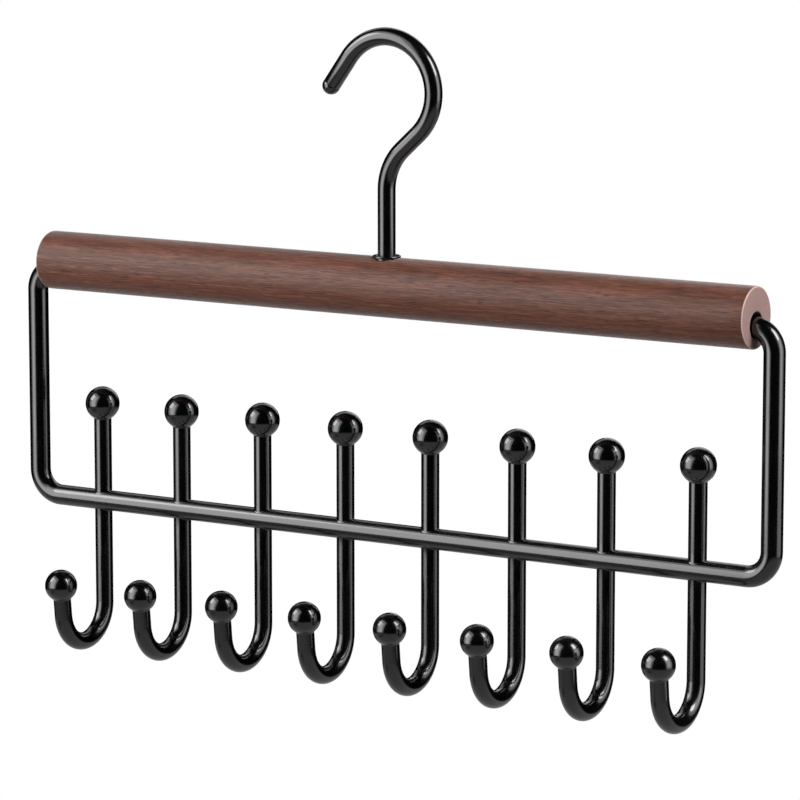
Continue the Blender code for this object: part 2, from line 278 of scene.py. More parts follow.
enamel = black_enamel()
wire_nodes = bent_wire_nodes()
hook_stations, hook_widths = top_hook_stations()
hook_path = wire_path("top_hook_path", hook_stations, hook_widths)
hook_values = {"Wire radius": TOP_WIRE_DIAMETER / 2, "Sides": HOOK_SIDES, "Finish": enamel}
top_hook = grow("top_hook_wire", hook_path, wire_nodes, hook_values)
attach(top_hook, "hook")
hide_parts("top_hook")


# Wooden bar
# A 24 mm dowel turned from close-grained hardwood, stained walnut and finished with a satin
# lacquer. Its arrises are eased, an off-centre blind bore in each end takes the frame rod,
# and a blind hole with a shallow spot face in its crown takes the hook and its ferrule.
BAR_RADIUS = 0.0120
BAR_HALF = 0.1635
BAR_DROP = 0.0386
BAR_Z = SHANK_TOP_Z - BAR_DROP
ARRIS = 0.0008
ARRIS_STEPS = 6
BORE_RADIUS = 0.0051
BORE_DROP = 0.0028
BORE_DEPTH = 0.0300
BORE_LIP = 0.0007
BORE_LIP_STEPS = 5
BAR_SIDES = 112
BAR_STEPS = 24
SPOT_FACE_DEPTH = 0.0007
SPOT_FACE_Z = BAR_Z + BAR_RADIUS - SPOT_FACE_DEPTH
SPOT_FACE_RADIUS = 0.00595
HOOK_HOLE_RADIUS = 0.00495
HOOK_HOLE_ROOM = 0.0012
HOOK_HOLE_FLOOR_Z = HEAD_FOOT_Z - HOOK_HOLE_ROOM
HOLE_SIDES = 64
MERGE_DISTANCE = 0.000005

# Walnut stain: colours, from the middle tone to the paler end grain with a painted sheen,
# its arris with light wear and a painted highlight, and the bores' painted shade, and how
# often each pattern repeats in a metre along and across the bar
WALNUT_MID = (0.178, 0.0620, 0.0365, 1.0)
WALNUT_DARK = (0.090, 0.0300, 0.0175, 1.0)
WALNUT_LIGHT = (0.285, 0.1100, 0.0680, 1.0)
WALNUT_PORE = (0.030, 0.0105, 0.0070, 1.0)
# Painted shade: the near-black that stands in for the shade inside the end bores
WALNUT_BORE_SHADE = (0.004, 0.0025, 0.0020, 1.0)
# The end faces' pale, pinkish tone: the wood's own colour with a painted sheen mixed in
WALNUT_END_GRAIN_AND_SHEEN = (0.370, 0.2350, 0.2200, 1.0)
# The arris's pale line: light wear with a painted highlight
WALNUT_EDGE_WEAR_AND_HIGHLIGHT = (0.760, 0.5400, 0.4700, 1.0)
STREAKS = (13.0, 760.0, 760.0)
FIBRES = (95.0, 3000.0, 3000.0)
HAIRS = (250.0, 3300.0, 3300.0)
PORES = (130.0, 2100.0, 2100.0)
STAIN_CLOUDS = (10.0, 130.0, 130.0)
END_SPECKS = (1500.0, 1500.0, 1500.0)
GRAIN_DEPTH = 0.00015
LACQUER_LEVELS = (0.30, 0.70)
LACQUER_ROUGHNESS = (0.52, 0.32)

# Growth rings: the shift that brings their pith below and behind the bar, its small turn,
# and how far slow waves in the grain pull the rings about
RING_SHIFT = (0.0, -0.031, 0.118)
RING_TURN = (0.0, math.radians(1.1), math.radians(0.8))
GRAIN_WAVES = (9.0, 70.0, 70.0)
GRAIN_PULL = 0.0032
RING_SCALE = 185.0

# How far in from the end face, and how far out from the bore's wall, each change of
# colour starts and ends: the end grain with its painted sheen, the arris's light wear with
# its painted highlight, and the bores' painted shade
END_FACE_BLEND = (0.00022, 0.00005)
ARRIS_BLEND_IN = (0.00060, 0.00030)
ARRIS_BLEND_OUT = (0.00016, 0.00004)
BORE_BLEND = (0.0001, 0.0004)


def ring_loft(name, rings, sides):
    """Skin a row of circles square to X, each an (x, drop, radius), and close both ends."""
    bm = bmesh.new()
    loops = []
    for x, drop, radius in rings:
        loop = []
        for side in range(sides):
            turn = math.tau * side / sides
            y, z = math.cos(turn) * radius, math.sin(turn) * radius
            loop.append(bm.verts.new((x, y, BAR_Z - drop + z)))
        loops.append(loop)
    for loop, following in zip(loops, loops[1:]):
        for side in range(sides):
            after = (side + 1) % sides
            bm.faces.new((loop[side], loop[after], following[after], following[side]))
    bm.faces.new(loops[0])
    bm.faces.new(loops[-1])
    bmesh.ops.recalc_face_normals(bm, faces=bm.faces)
    mesh = bpy.data.meshes.new(name)
    bm.to_mesh(mesh)
    bm.free()
    return mesh


def bar_half_rings():
    """Rings of the bar's right half: up the bore, out over its lip and the end face, round
    the arris and back along the bar to its middle."""
    rings = [(BAR_HALF - BORE_DEPTH, BORE_DROP, BORE_RADIUS)]
    for step in range(BORE_LIP_STEPS + 1):
        turn = math.radians(90.0) * step / BORE_LIP_STEPS
        x = BAR_HALF - BORE_LIP + BORE_LIP * math.sin(turn)
        rings.append((x, BORE_DROP, BORE_RADIUS + BORE_LIP * (1.0 - math.cos(turn))))
    for step in range(ARRIS_STEPS + 1):
        turn = math.radians(90.0) * step / ARRIS_STEPS
        x = BAR_HALF - ARRIS + ARRIS * math.cos(turn)
        rings.append((x, 0.0, BAR_RADIUS - ARRIS + ARRIS * math.sin(turn)))
    for step in range(1, BAR_STEPS + 1):
        rings.append(((BAR_HALF - ARRIS) * (1.0 - step / BAR_STEPS), 0.0, BAR_RADIUS))
    return rings


def turned_mesh(name, profile, sides, place):
    """Spin a closed (radius, height) profile about Z and put it at its place."""
    bm = bmesh.new()
    verts = [bm.verts.new((radius, 0.0, height)) for radius, height in profile]
    pairs = list(zip(verts, verts[1:]))
    if profile[0][0] > 0.0:
        pairs.append((verts[-1], verts[0]))
    edges = [bm.edges.new(pair) for pair in pairs]
    bmesh.ops.spin(bm, geom=verts + edges, cent=(0.0, 0.0, 0.0), axis=(0.0, 0.0, 1.0),
                   angle=math.tau, steps=sides, use_merge=True)
    bmesh.ops.remove_doubles(bm, verts=bm.verts, dist=MERGE_DISTANCE)
    bmesh.ops.transform(bm, matrix=Matrix.Translation(place), verts=bm.verts)
    bmesh.ops.recalc_face_normals(bm, faces=bm.faces)
    mesh = bpy.data.meshes.new(name)
    bm.to_mesh(mesh)
    bm.free()
    return mesh


def add_piece(name, mesh, finish):
    """Put a mesh in the scene as a smooth piece with one finish."""
    mesh.materials.clear()
    mesh.materials.append(finish)
    mesh.shade_smooth()
    mesh.set_sharp_from_angle(angle=SHARP)
    piece = bpy.data.objects.new(name, mesh)
    bpy.context.collection.objects.link(piece)
    return piece


def sink_hook_hole(bar, finish):
    """Cut the blind hole and its spot face in the bar's crown. The cutter is turned by half a
    side, so that no corner of it falls on one of the bar's own edges."""
    bottom = HOOK_HOLE_FLOOR_Z - SPOT_FACE_Z
    above = BAR_RADIUS
    profile = [
        (0.0, bottom),
        (HOOK_HOLE_RADIUS, bottom),
        (HOOK_HOLE_RADIUS, 0.0),
        (SPOT_FACE_RADIUS, 0.0),
        (SPOT_FACE_RADIUS, above),
        (0.0, above),
    ]
    mesh = turned_mesh("hook_hole", profile, HOLE_SIDES, UP * SPOT_FACE_Z)
    mesh.transform(Matrix.Rotation(math.pi / HOLE_SIDES, 4, "Z"))
    cutter = add_piece("hook_hole", mesh, finish)
    modifier = bar.modifiers.new("hook_hole", "BOOLEAN")
    modifier.operation = "DIFFERENCE"
    modifier.solver = "EXACT"
    modifier.object = cutter
    depsgraph = bpy.context.evaluated_depsgraph_get()
    drilled = bpy.data.meshes.new_from_object(bar.evaluated_get(depsgraph), depsgraph=depsgraph)
    bar.modifiers.remove(modifier)
    bpy.data.objects.remove(cutter, do_unlink=True)
    bpy.data.objects.remove(bar, do_unlink=True)
    return drilled


def combined(tree, operation, first, second):
    """One number worked out from two."""
    node = add_node(tree, "ShaderNodeMath", operation=operation)
    feed(tree, node, {0: first, 1: second})
    return node.outputs["Value"]


def distance(tree, place, centre):
    """How far a place is from a centre."""
    node = add_node(tree, "ShaderNodeVectorMath", operation="DISTANCE")
    feed(tree, node, {0: place, 1: centre})
    return node.outputs["Value"]


def end_grain_masks(tree, coords):
    """How far a point is on an end face, where the end grain with its painted sheen goes, and
    how far it is on the eased arris, where the light wear with its painted highlight goes.
    """
    split = add_node(tree, "ShaderNodeSeparateXYZ")
    feed(tree, split, {"Vector": coords.outputs["Object"]})
    reach = add_node(tree, "ShaderNodeMath", operation="ABSOLUTE")
    feed(tree, reach, {0: split.outputs["X"]})
    depth = combined(tree, "SUBTRACT", BAR_HALF, reach.outputs["Value"])
    face = spread(tree, depth, *END_FACE_BLEND, 0.0, 1.0)
    rise = spread(tree, depth, *ARRIS_BLEND_IN, 0.0, 1.0)
    fall = spread(tree, depth, *ARRIS_BLEND_OUT, 1.0, 0.0)
    return face, combined(tree, "MULTIPLY", rise, fall)


def bore_shade_mask(tree, coords):
    """How far a point is inside one of the end bores, where the colour goes near black as
    painted shade.
    """
    across = add_node(tree, "ShaderNodeVectorMath", operation="MULTIPLY")
    feed(tree, across, {0: coords.outputs["Object"], 1: (0.0, 1.0, 1.0)})
    reach = distance(tree, across.outputs["Vector"], (0.0, 0.0, BAR_Z - BORE_DROP))
    inner, outer = (BORE_RADIUS + blend for blend in BORE_BLEND)
    return spread(tree, reach, inner, outer, 1.0, 0.0)


def growth_rings(tree, coords):
    """Growth rings about a pith that lies below and behind the bar, nearly along it, pulled
    about by slow waves in the grain."""
    waves = grain_noise(tree, coords, GRAIN_WAVES, 2.0, "Color")
    pull = add_node(tree, "ShaderNodeVectorMath", operation="SCALE")
    feed(tree, pull, {"Vector": waves, "Scale": GRAIN_PULL})
    pulled = add_node(tree, "ShaderNodeVectorMath", operation="ADD")
    feed(tree, pulled, {0: coords.outputs["Object"], 1: pull.outputs["Vector"]})
    place = add_node(tree, "ShaderNodeMapping")
    feed(tree, place, {"Vector": pulled.outputs["Vector"], "Location": RING_SHIFT,
                       "Rotation": RING_TURN})
    rings = add_node(tree, "ShaderNodeTexWave", wave_type="RINGS", rings_direction="X")
    feed(tree, rings, {"Vector": place.outputs["Vector"], "Scale": RING_SCALE,
                       "Distortion": 2.2, "Detail": 3.0, "Detail Scale": 0.35})
    return rings.outputs["Fac"]


def stained_walnut():
    """Walnut stain on turned hardwood: growth rings, long streaks, fine fibres and short
    dark pores, under a satin lacquer. The end faces look paler, from the wood's own colour
    with a painted sheen in it; the arris carries light wear with a painted highlight, and
    the bores painted shade."""
    mat, tree, shader, coords = new_finish("stained_walnut")
    rings = growth_rings(tree, coords)
    clouds = grain_noise(tree, coords, STAIN_CLOUDS, 2.0)
    streaks = grain_noise(tree, coords, STREAKS, 3.0)
    fibres = grain_noise(tree, coords, FIBRES, 2.5)
    hairs = grain_noise(tree, coords, HAIRS, 2.0)
    pores = grain_noise(tree, coords, PORES, 1.0)
    specks = grain_noise(tree, coords, END_SPECKS, 4.0)

    # Each tone is a pattern, two levels of it, how much of the tone shows at each of the two
    # levels, and the tone's colour.
    tones = [
        (rings, 0.20, 0.90, 0.00, 0.60, WALNUT_DARK),
        (clouds, 0.46, 0.66, 0.00, 0.60, WALNUT_DARK),
        (streaks, 0.47, 0.66, 0.00, 0.40, WALNUT_LIGHT),
        (fibres, 0.36, 0.51, 0.66, 0.00, WALNUT_DARK),
        (fibres, 0.52, 0.66, 0.00, 0.52, WALNUT_LIGHT),
        (hairs, 0.38, 0.52, 0.60, 0.00, WALNUT_DARK),
        (pores, 0.29, 0.38, 0.80, 0.00, WALNUT_PORE),
    ]
    wood = WALNUT_MID
    for pattern, low, high, at_low, at_high, tone in tones:
        wood = mixed(tree, spread(tree, pattern, low, high, at_low, at_high), wood, tone)
    speckle = spread(tree, specks, 0.30, 0.52, 0.35, 0.00)
    # The end grain: a paler tone with a painted sheen in it
    end_grain_and_sheen = mixed(tree, speckle, WALNUT_END_GRAIN_AND_SHEEN, WALNUT_MID)
    face, arris = end_grain_masks(tree, coords)
    # The arris takes a pale line of light wear and a painted highlight
    wood = mixed(tree, arris, mixed(tree, face, wood, end_grain_and_sheen), WALNUT_EDGE_WEAR_AND_HIGHLIGHT)
    # Inside the bores the colour turns near black: painted shade
    bore = bore_shade_mask(tree, coords)
    gloss = spread(tree, hairs, *LACQUER_LEVELS, *LACQUER_ROUGHNESS)
    feed(tree, shader, {
        "Base Color": mixed(tree, bore, wood, WALNUT_BORE_SHADE),
        "Roughness": combined(tree, "MAXIMUM", gloss, bore),
        "Specular IOR Level": 0.33,
        "Sheen Weight": 0.60,
        "Sheen Roughness": 0.30,
        "Normal": embossed(tree, combined(tree, "ADD", fibres, hairs), GRAIN_DEPTH, 0.60),
    })
    return mat


walnut = stained_walnut()
right_half = bar_half_rings()
left_half = [(-x, drop, radius) for x, drop, radius in reversed(right_half[:-1])]
bar_mesh = ring_loft("bar_blank", right_half + left_half, BAR_SIDES)
bar_blank = add_piece("bar_blank", bar_mesh, walnut)
bar = add_piece("walnut_bar", sink_hook_hole(bar_blank, walnut), walnut)
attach(bar, "bar")
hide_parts("wooden_bar")


# Hook ferrule
# A flanged steel bush, pressed in the hole over the hook's head once the shank is through
# it. Its thin flange has a rolled rim and is enamelled with the rest of the metal.
FIT_GAP = 0.0003
FERRULE_BORE = TOP_WIRE_DIAMETER / 2 + FIT_GAP
SLEEVE_RADIUS = HOOK_HOLE_RADIUS - FIT_GAP
SLEEVE_LENGTH = 0.0080
FLANGE_Z = SPOT_FACE_Z + FIT_GAP
FLANGE_RADIUS = SPOT_FACE_RADIUS - FIT_GAP
FLANGE_THICKNESS = 0.0011
FERRULE_SIDES = 72
RIM_ROUNDING = 0.00045
RIM_STEPS = 7
COLLAR_EASE = 0.00025


def rounded_rim(radius, bottom, top, rounding, steps):
    """Profile points round both edges of a rim, from the bottom up."""
    points = []
    for height, start in ((bottom + rounding, -90.0), (top - rounding, 0.0)):
        for step in range(steps + 1):
            turn = math.radians(start + 90.0 * step / steps)
            out = radius - rounding + rounding * math.cos(turn)
            points.append((out, height + rounding * math.sin(turn)))
    return points


ferrule_profile = [
    (FERRULE_BORE, -SLEEVE_LENGTH),
    (SLEEVE_RADIUS, -SLEEVE_LENGTH),
    (SLEEVE_RADIUS, 0.0),
    *rounded_rim(FLANGE_RADIUS, 0.0, FLANGE_THICKNESS, RIM_ROUNDING, RIM_STEPS),
    (FERRULE_BORE + COLLAR_EASE, FLANGE_THICKNESS),
    (FERRULE_BORE, FLANGE_THICKNESS - COLLAR_EASE),
]
ferrule_mesh = turned_mesh("ferrule", ferrule_profile, FERRULE_SIDES, UP * FLANGE_Z)
ferrule = add_piece("enamelled_ferrule", ferrule_mesh, enamel)
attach(ferrule, "bar")
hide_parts("hook_ferrule")


# Frame rod
# One 8.4 mm steel rod, bent cold at four places: an end in each bore of the bar, two legs and
# the long crossbar between them. Its ends lie loose in the bores, so the frame swings.
ROD_RADIUS = 0.0042
ROD_GRIP = 0.0220
BEND_INSET = 0.0018
TOP_BEND = 0.0095
CORNER_BEND = 0.0105
FRAME_DROP = 0.0988
ROD_END_EASE = 0.0006
ROD_END_SHARE = 0.86
ROD_SIDES = 56
PIVOT_Z = BAR_Z - BORE_DROP - (BORE_RADIUS - ROD_RADIUS - FIT_GAP)
CROSSBAR_Z = BAR_Z - FRAME_DROP
LEG_X = BAR_HALF - BEND_INSET + TOP_BEND
ROD_END_X = BAR_HALF - ROD_GRIP

grip = LEG_X - TOP_BEND - ROD_END_X
leg = PIVOT_Z - CROSSBAR_Z - TOP_BEND - CORNER_BEND
crossbar = 2.0 * (LEG_X - CORNER_BEND)
rod_moves = [
    (grip - ROD_END_EASE, TOP_BEND, 90.0),
    (leg, CORNER_BEND, 90.0),
    (crossbar, CORNER_BEND, 90.0),
    (leg, TOP_BEND, 90.0),
    (grip - ROD_END_EASE, 0.0, 0.0),
]
left = Vector((-1.0, 0.0, 0.0))
rod_start = Vector((-ROD_END_X, 0.0, PIVOT_Z)) + left * ROD_END_EASE
rod = bend_wire(rod_start, left, (0.0, 0.0, -1.0), rod_moves)
rod.insert(0, (rod_start - left * ROD_END_EASE, left))
rod.append((rod[-1][0] + rod[-1][1] * ROD_END_EASE, rod[-1][1]))
rod_widths = [ROD_END_SHARE, *([1.0] * (len(rod) - 2)), ROD_END_SHARE]
rod_path = wire_path("frame_rod_path", rod, rod_widths)
rod_values = {"Wire radius": ROD_RADIUS, "Sides": ROD_SIDES, "Finish": enamel}
frame_rod = grow("frame_rod_wire", rod_path, wire_nodes, rod_values)
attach(frame_rod, "frame")
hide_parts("frame_rod")


# Pegs
# Eight short lengths of 7 mm wire stand in a row on the crossbar, flush with its back. Each
# is butt-welded, and the weld's fillet shows under the enamel as a soft saddle-shaped foot.
PEG_COUNT = 8
ROW_MARGIN = 0.0319
ROW_HALF = LEG_X - ROW_MARGIN
WIRE_RADIUS = 0.0036
ROW_Y = ROD_RADIUS - WIRE_RADIUS
WIRE_START = 0.0075
PEG_RISES = (WIRE_START, 0.0200, 0.0330, 0.0400)
WIRE_SIDES = 44
WELD_SIZE = 0.00034
WELD_ROWS = 7
WELD_ROOM_SHARE = 0.55
WELD_SINK = 0.00003
WELD_UNEVENNESS = 0.00010
WELD_LUMPS = 420.0
PEG_SEED = 3.0

# For the fillet's sums: how far in from its edge its slope is read, and the smallest sine
# that anything is divided by
NUDGE_SHARE = 0.02
SMALLEST_SINE = 0.001


def weld_row(share, side_sin):
    """One point of the weld's hollow fillet in the plane that holds the wire's side: how far
    out it is from the wire, and how high over the crossbar's axis. share goes from the edge
    on the crossbar, 0, to the wire, 1."""
    behind = side_sin > 0.0
    reach = ROD_RADIUS - ROW_Y if behind else ROD_RADIUS + ROW_Y
    room = reach / max(abs(side_sin), SMALLEST_SINE) - WIRE_RADIUS
    size = min(WELD_SIZE, WELD_ROOM_SHARE * room + WELD_SINK)

    def crown(out):
        y = ROW_Y + (WIRE_RADIUS + out) * side_sin
        return math.sqrt(max(ROD_RADIUS**2 - y**2, 0.0))

    edge = crown(size)
    slope = (crown(size * (1.0 - NUDGE_SHARE)) - edge) / (size * NUDGE_SHARE)
    corner = edge + slope * size
    top = max(corner, crown(0.0)) + size
    out = size * (1.0 - share) ** 2
    height = edge * (1.0 - share) ** 2 + 2.0 * corner * share * (1.0 - share) + top * share**2
    return out, height - WELD_SINK * (1.0 - share)


def welded_wire(name, stations, place, facing):
    """A wire with a weld's fillet at its foot. Its stations are (point, direction) pairs in
    the YZ plane, from the crossbar's axis on; facing is 1 above the crossbar, -1 below."""
    bm = bmesh.new()
    weld = bm.verts.layers.float.new("weld")
    loops = []
    turns = [math.tau * side / WIRE_SIDES for side in range(WIRE_SIDES)]
    for row in range(WELD_ROWS + 1):
        share = row / WELD_ROWS
        loop = []
        for turn in turns:
            out, height = weld_row(share, math.sin(turn))
            radius = WIRE_RADIUS + out
            co = (math.cos(turn) * radius, math.sin(turn) * radius, facing * height)
            vert = bm.verts.new(place + Vector(co))
            vert[weld] = math.sin(math.pi * share) ** 2
            loop.append(vert)
        loops.append(loop)
    for point, along in stations:
        inward = Vector((0.0, -along.z, along.y)) * -facing
        loop = []
        for turn in turns:
            spoke = Vector((1.0, 0.0, 0.0)) * math.cos(turn) + inward * math.sin(turn)
            loop.append(bm.verts.new(place + point + spoke * WIRE_RADIUS))
        loops.append(loop)
    for loop, following in zip(loops, loops[1:]):
        for side in range(WIRE_SIDES):
            after = (side + 1) % WIRE_SIDES
            bm.faces.new((loop[side], loop[after], following[after], following[side]))
    heart = bm.verts.new(place)
    for side in range(WIRE_SIDES):
        bm.faces.new((loops[0][side], loops[0][(side + 1) % WIRE_SIDES], heart))
    bm.faces.new(loops[-1])
    bmesh.ops.recalc_face_normals(bm, faces=bm.faces)
    mesh = bpy.data.meshes.new(name)
    bm.to_mesh(mesh)
    bm.free()
    return mesh


def row_nodes():
    """Geometry nodes that repeat one piece along the crossbar. Where the piece's weld
    attribute says so, the surface is pushed about a little, so that no two welds match."""
    tree = bpy.data.node_groups.new("row_of_pieces", "GeometryNodeTree")
    add_socket(tree, "Piece", "NodeSocketGeometry")
    add_socket(tree, "Count", "NodeSocketInt")
    add_socket(tree, "Pitch", "NodeSocketVector")
    add_socket(tree, "Weld unevenness", "NodeSocketFloat")
    add_socket(tree, "Seed", "NodeSocketFloat")
    add_socket(tree, "Finish", "NodeSocketMaterial")
    add_socket(tree, "Row", "NodeSocketGeometry", "OUTPUT")
    inputs = add_node(tree, "NodeGroupInput")
    places = add_node(tree, "GeometryNodeMeshLine", mode="OFFSET")
    repeat = add_node(tree, "GeometryNodeInstanceOnPoints")
    real = add_node(tree, "GeometryNodeRealizeInstances")
    attribute = add_node(tree, "GeometryNodeInputNamedAttribute", data_type="FLOAT")
    feed(tree, attribute, {"Name": "weld"})
    lumps = add_node(tree, "ShaderNodeTexNoise", noise_dimensions="4D")
    feed(tree, lumps, {"W": inputs.outputs["Seed"], "Scale": WELD_LUMPS, "Detail": 1.0})
    centred = combined(tree, "SUBTRACT", lumps.outputs["Fac"], 0.5)
    masked = combined(tree, "MULTIPLY", centred, attribute.outputs["Attribute"])
    sized = combined(tree, "MULTIPLY", masked, inputs.outputs["Weld unevenness"])
    normal = add_node(tree, "GeometryNodeInputNormal")
    push = add_node(tree, "ShaderNodeVectorMath", operation="SCALE")
    move = add_node(tree, "GeometryNodeSetPosition")
    finish = add_node(tree, "GeometryNodeSetMaterial")
    result = add_node(tree, "NodeGroupOutput")
    link = tree.links.new
    link(inputs.outputs["Count"], places.inputs["Count"])
    link(inputs.outputs["Pitch"], places.inputs["Offset"])
    link(places.outputs["Mesh"], repeat.inputs["Points"])
    link(inputs.outputs["Piece"], repeat.inputs["Instance"])
    link(repeat.outputs["Instances"], real.inputs["Geometry"])
    link(normal.outputs["Normal"], push.inputs["Vector"])
    link(sized, push.inputs["Scale"])
    link(real.outputs["Geometry"], move.inputs["Geometry"])
    link(push.outputs["Vector"], move.inputs["Offset"])
    link(move.outputs["Geometry"], finish.inputs["Geometry"])
    link(inputs.outputs["Finish"], finish.inputs["Material"])
    link(finish.outputs["Geometry"], result.inputs["Row"])
    return tree


def make_row(name, mesh, seed, *nodes):
    """Repeat one piece along the crossbar and hang the row on the frame."""
    pitch = (2.0 * ROW_HALF / (PEG_COUNT - 1), 0.0, 0.0)
    values = {"Count": PEG_COUNT, "Pitch": pitch, "Weld unevenness": WELD_UNEVENNESS,
              "Seed": seed, "Finish": enamel}
    row = grow(name, add_piece(name, mesh, enamel), row_tree, values)
    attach(row, "frame")
    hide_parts(*nodes)


def numbered(name):
    """The names of a row's nodes, from the left."""
    return [f"{name}_{number}" for number in range(1, PEG_COUNT + 1)]


row_tree = row_nodes()
first_seat = Vector((-ROW_HALF, ROW_Y, CROSSBAR_Z))
peg_stations = [(UP * rise, UP) for rise in PEG_RISES]
peg_mesh = welded_wire("peg", peg_stations, first_seat, 1)
make_row("peg_wires", peg_mesh, PEG_SEED, *numbered("peg"))


# J hooks
# Eight lengths of the same wire, welded under the crossbar below the pegs and bent forwards
# and up to an open J, which holds the straps. Their welds match those of the pegs.
J_DROP = 0.0427
J_BEND = 0.0145
J_SWEEP = 174.0
J_TIP_RUN = 0.0124
J_SEED = 8.0

down = Vector((0.0, 0.0, -1.0))
j_moves = [(J_DROP - WIRE_START, J_BEND, J_SWEEP), (J_TIP_RUN, 0.0, 0.0)]
j_walk = bend_wire(down * WIRE_START, down, (0.0, -1.0, 0.0), j_moves)
j_mesh = welded_wire("j_hook", j_walk, first_seat, -1)
make_row("j_hook_wires", j_mesh, J_SEED, *numbered("j_hook"))


# Balls
# Turned steel balls, 14 mm on the pegs and a little smaller on the J hooks. Each is drilled,
# driven on its wire and enamelled with it, so a fine bead of enamel closes the joint.
PEG_BALL_RADIUS = 0.00705
PEG_BALL_RISE = 0.0404
PEG_BALL_SEED = 1.0
TIP_BALL_RADIUS = 0.0066
TIP_BALL_RUN = 0.0130
TIP_BALL_SEED = 2.0
BALL_ROWS = 30
BALL_SIDES = 56
BEAD = 0.00045
BEAD_FOOT_SHARE = 0.7
BEAD_ROWS = 5
BEAD_STEP = 0.00002


def ball_profile(radius):
    """A ball's outline from the bead of enamel at its wire round to its top."""
    first = math.asin((WIRE_RADIUS + BEAD) / radius)
    wire = WIRE_RADIUS + BEAD_STEP
    start = (radius * math.sin(first), -radius * math.cos(first))
    corner = (wire, start[1] - (start[0] - wire) * math.tan(first))
    foot = (wire, corner[1] - BEAD * BEAD_FOOT_SHARE)
    points = [(0.0, foot[1])]
    for row in range(BEAD_ROWS):
        share = row / BEAD_ROWS
        far, near, between = (1.0 - share) ** 2, share**2, 2.0 * share * (1.0 - share)
        out = foot[0] * far + corner[0] * between + start[0] * near
        points.append((out, foot[1] * far + corner[1] * between + start[1] * near))
    for row in range(BALL_ROWS):
        turn = first + (math.pi - first) * row / BALL_ROWS
        points.append((radius * math.sin(turn), -radius * math.cos(turn)))
    points.append((0.0, radius))
    return points


def ball_mesh(name, radius, along, place):
    """A ball with its bore along a wire's last direction."""
    mesh = turned_mesh(name, ball_profile(radius), BALL_SIDES, (0.0, 0.0, 0.0))
    turn = UP.rotation_difference(along).to_matrix().to_4x4()
    mesh.transform(Matrix.Translation(place) @ turn)
    return mesh


peg_ball_mesh = ball_mesh("peg_ball", PEG_BALL_RADIUS, UP, first_seat + UP * PEG_BALL_RISE)
make_row("peg_ball_row", peg_ball_mesh, PEG_BALL_SEED, *numbered("peg_ball"))

tip_point, tip_along = j_walk[-1]
tip_place = first_seat + tip_point + tip_along * (TIP_BALL_RUN - J_TIP_RUN)
tip_ball_mesh = ball_mesh("tip_ball", TIP_BALL_RADIUS, tip_along, tip_place)
make_row("tip_ball_row", tip_ball_mesh, TIP_BALL_SEED, *numbered("tip_ball"))


# Floor and backdrop
# The hanger hangs at closet height over a plain pale floor. To the camera, the floor and the
# room behind it are white. In the enamel the floor is a painted reflection: it glows grey
# only for mirrored rays, fading out towards its edge, with a painted dark patch before the
# left soft boxes. The unlit room mirrors as black.
FLOOR_Z = -1.75
FLOOR_RADIUS = 5.2
FLOOR_SIDES = 96
FLOOR_COLOUR = (0.80, 0.80, 0.79, 1.0)
FLOOR_ROUGHNESS = 0.9
FLOOR_GLOW = 0.90
FLOOR_MIRRORED = 0.36
FLOOR_FADE = 3.6
# A painted dark patch in the floor's mirrored glow: its place, the radius within which it is
# darkest, its edge and its level
DARK_REFLECTION_PLACE = (-1.560, -2.000, FLOOR_Z)
DARK_REFLECTION_CORE = 0.20
DARK_REFLECTION_EDGE = 1.30
DARK_REFLECTION_SHADE = 0.30
ROOM_LIGHT = 0.12
WHITE = (1.0, 1.0, 1.0, 1.0)


def looked_at(tree, path):
    """1 where the camera looks straight or through glass, and 0 elsewhere."""
    straight, through = path.outputs["Is Camera Ray"], path.outputs["Is Transmission Ray"]
    return combined(tree, "MAXIMUM", straight, through)


def pale_floor():
    """A matt pale floor that reads as white. To mirrored rays it is a painted reflection: a
    grey glow that fades out to the dark room, with a painted dark patch before the left
    soft boxes."""
    mat, tree, shader, coords = new_finish("pale_floor")
    path = add_node(tree, "ShaderNodeLightPath")
    feed(tree, shader, {
        "Base Color": FLOOR_COLOUR,
        "Roughness": FLOOR_ROUGHNESS,
        "Emission Color": WHITE,
        "Emission Strength": spread(tree, looked_at(tree, path), 0.0, 1.0, 0.0, FLOOR_GLOW),
    })
    place = coords.outputs["Object"]
    from_middle = distance(tree, place, (0.0, 0.0, FLOOR_Z))
    # The floor's glow for mirrored rays is a painted reflection, and the patch is painted
    # darkness in it
    from_dark_reflection = distance(tree, place, DARK_REFLECTION_PLACE)
    fade = spread(tree, from_middle, FLOOR_FADE, FLOOR_RADIUS, FLOOR_MIRRORED, 0.0)
    dark_reflection = spread(tree, from_dark_reflection, DARK_REFLECTION_CORE, DARK_REFLECTION_EDGE, DARK_REFLECTION_SHADE, 1.0)
    mirrored = add_node(tree, "ShaderNodeEmission")
    feed(tree, mirrored, {"Strength": combined(tree, "MULTIPLY", fade, dark_reflection)})
    either = add_node(tree, "ShaderNodeMixShader")
    feed(tree, either, {0: path.outputs["Is Glossy Ray"], 1: shader.outputs["BSDF"],
                        2: mirrored.outputs["Emission"]})
    feed(tree, tree.nodes["Material Output"], {"Surface": either.outputs["Shader"]})
    return mat


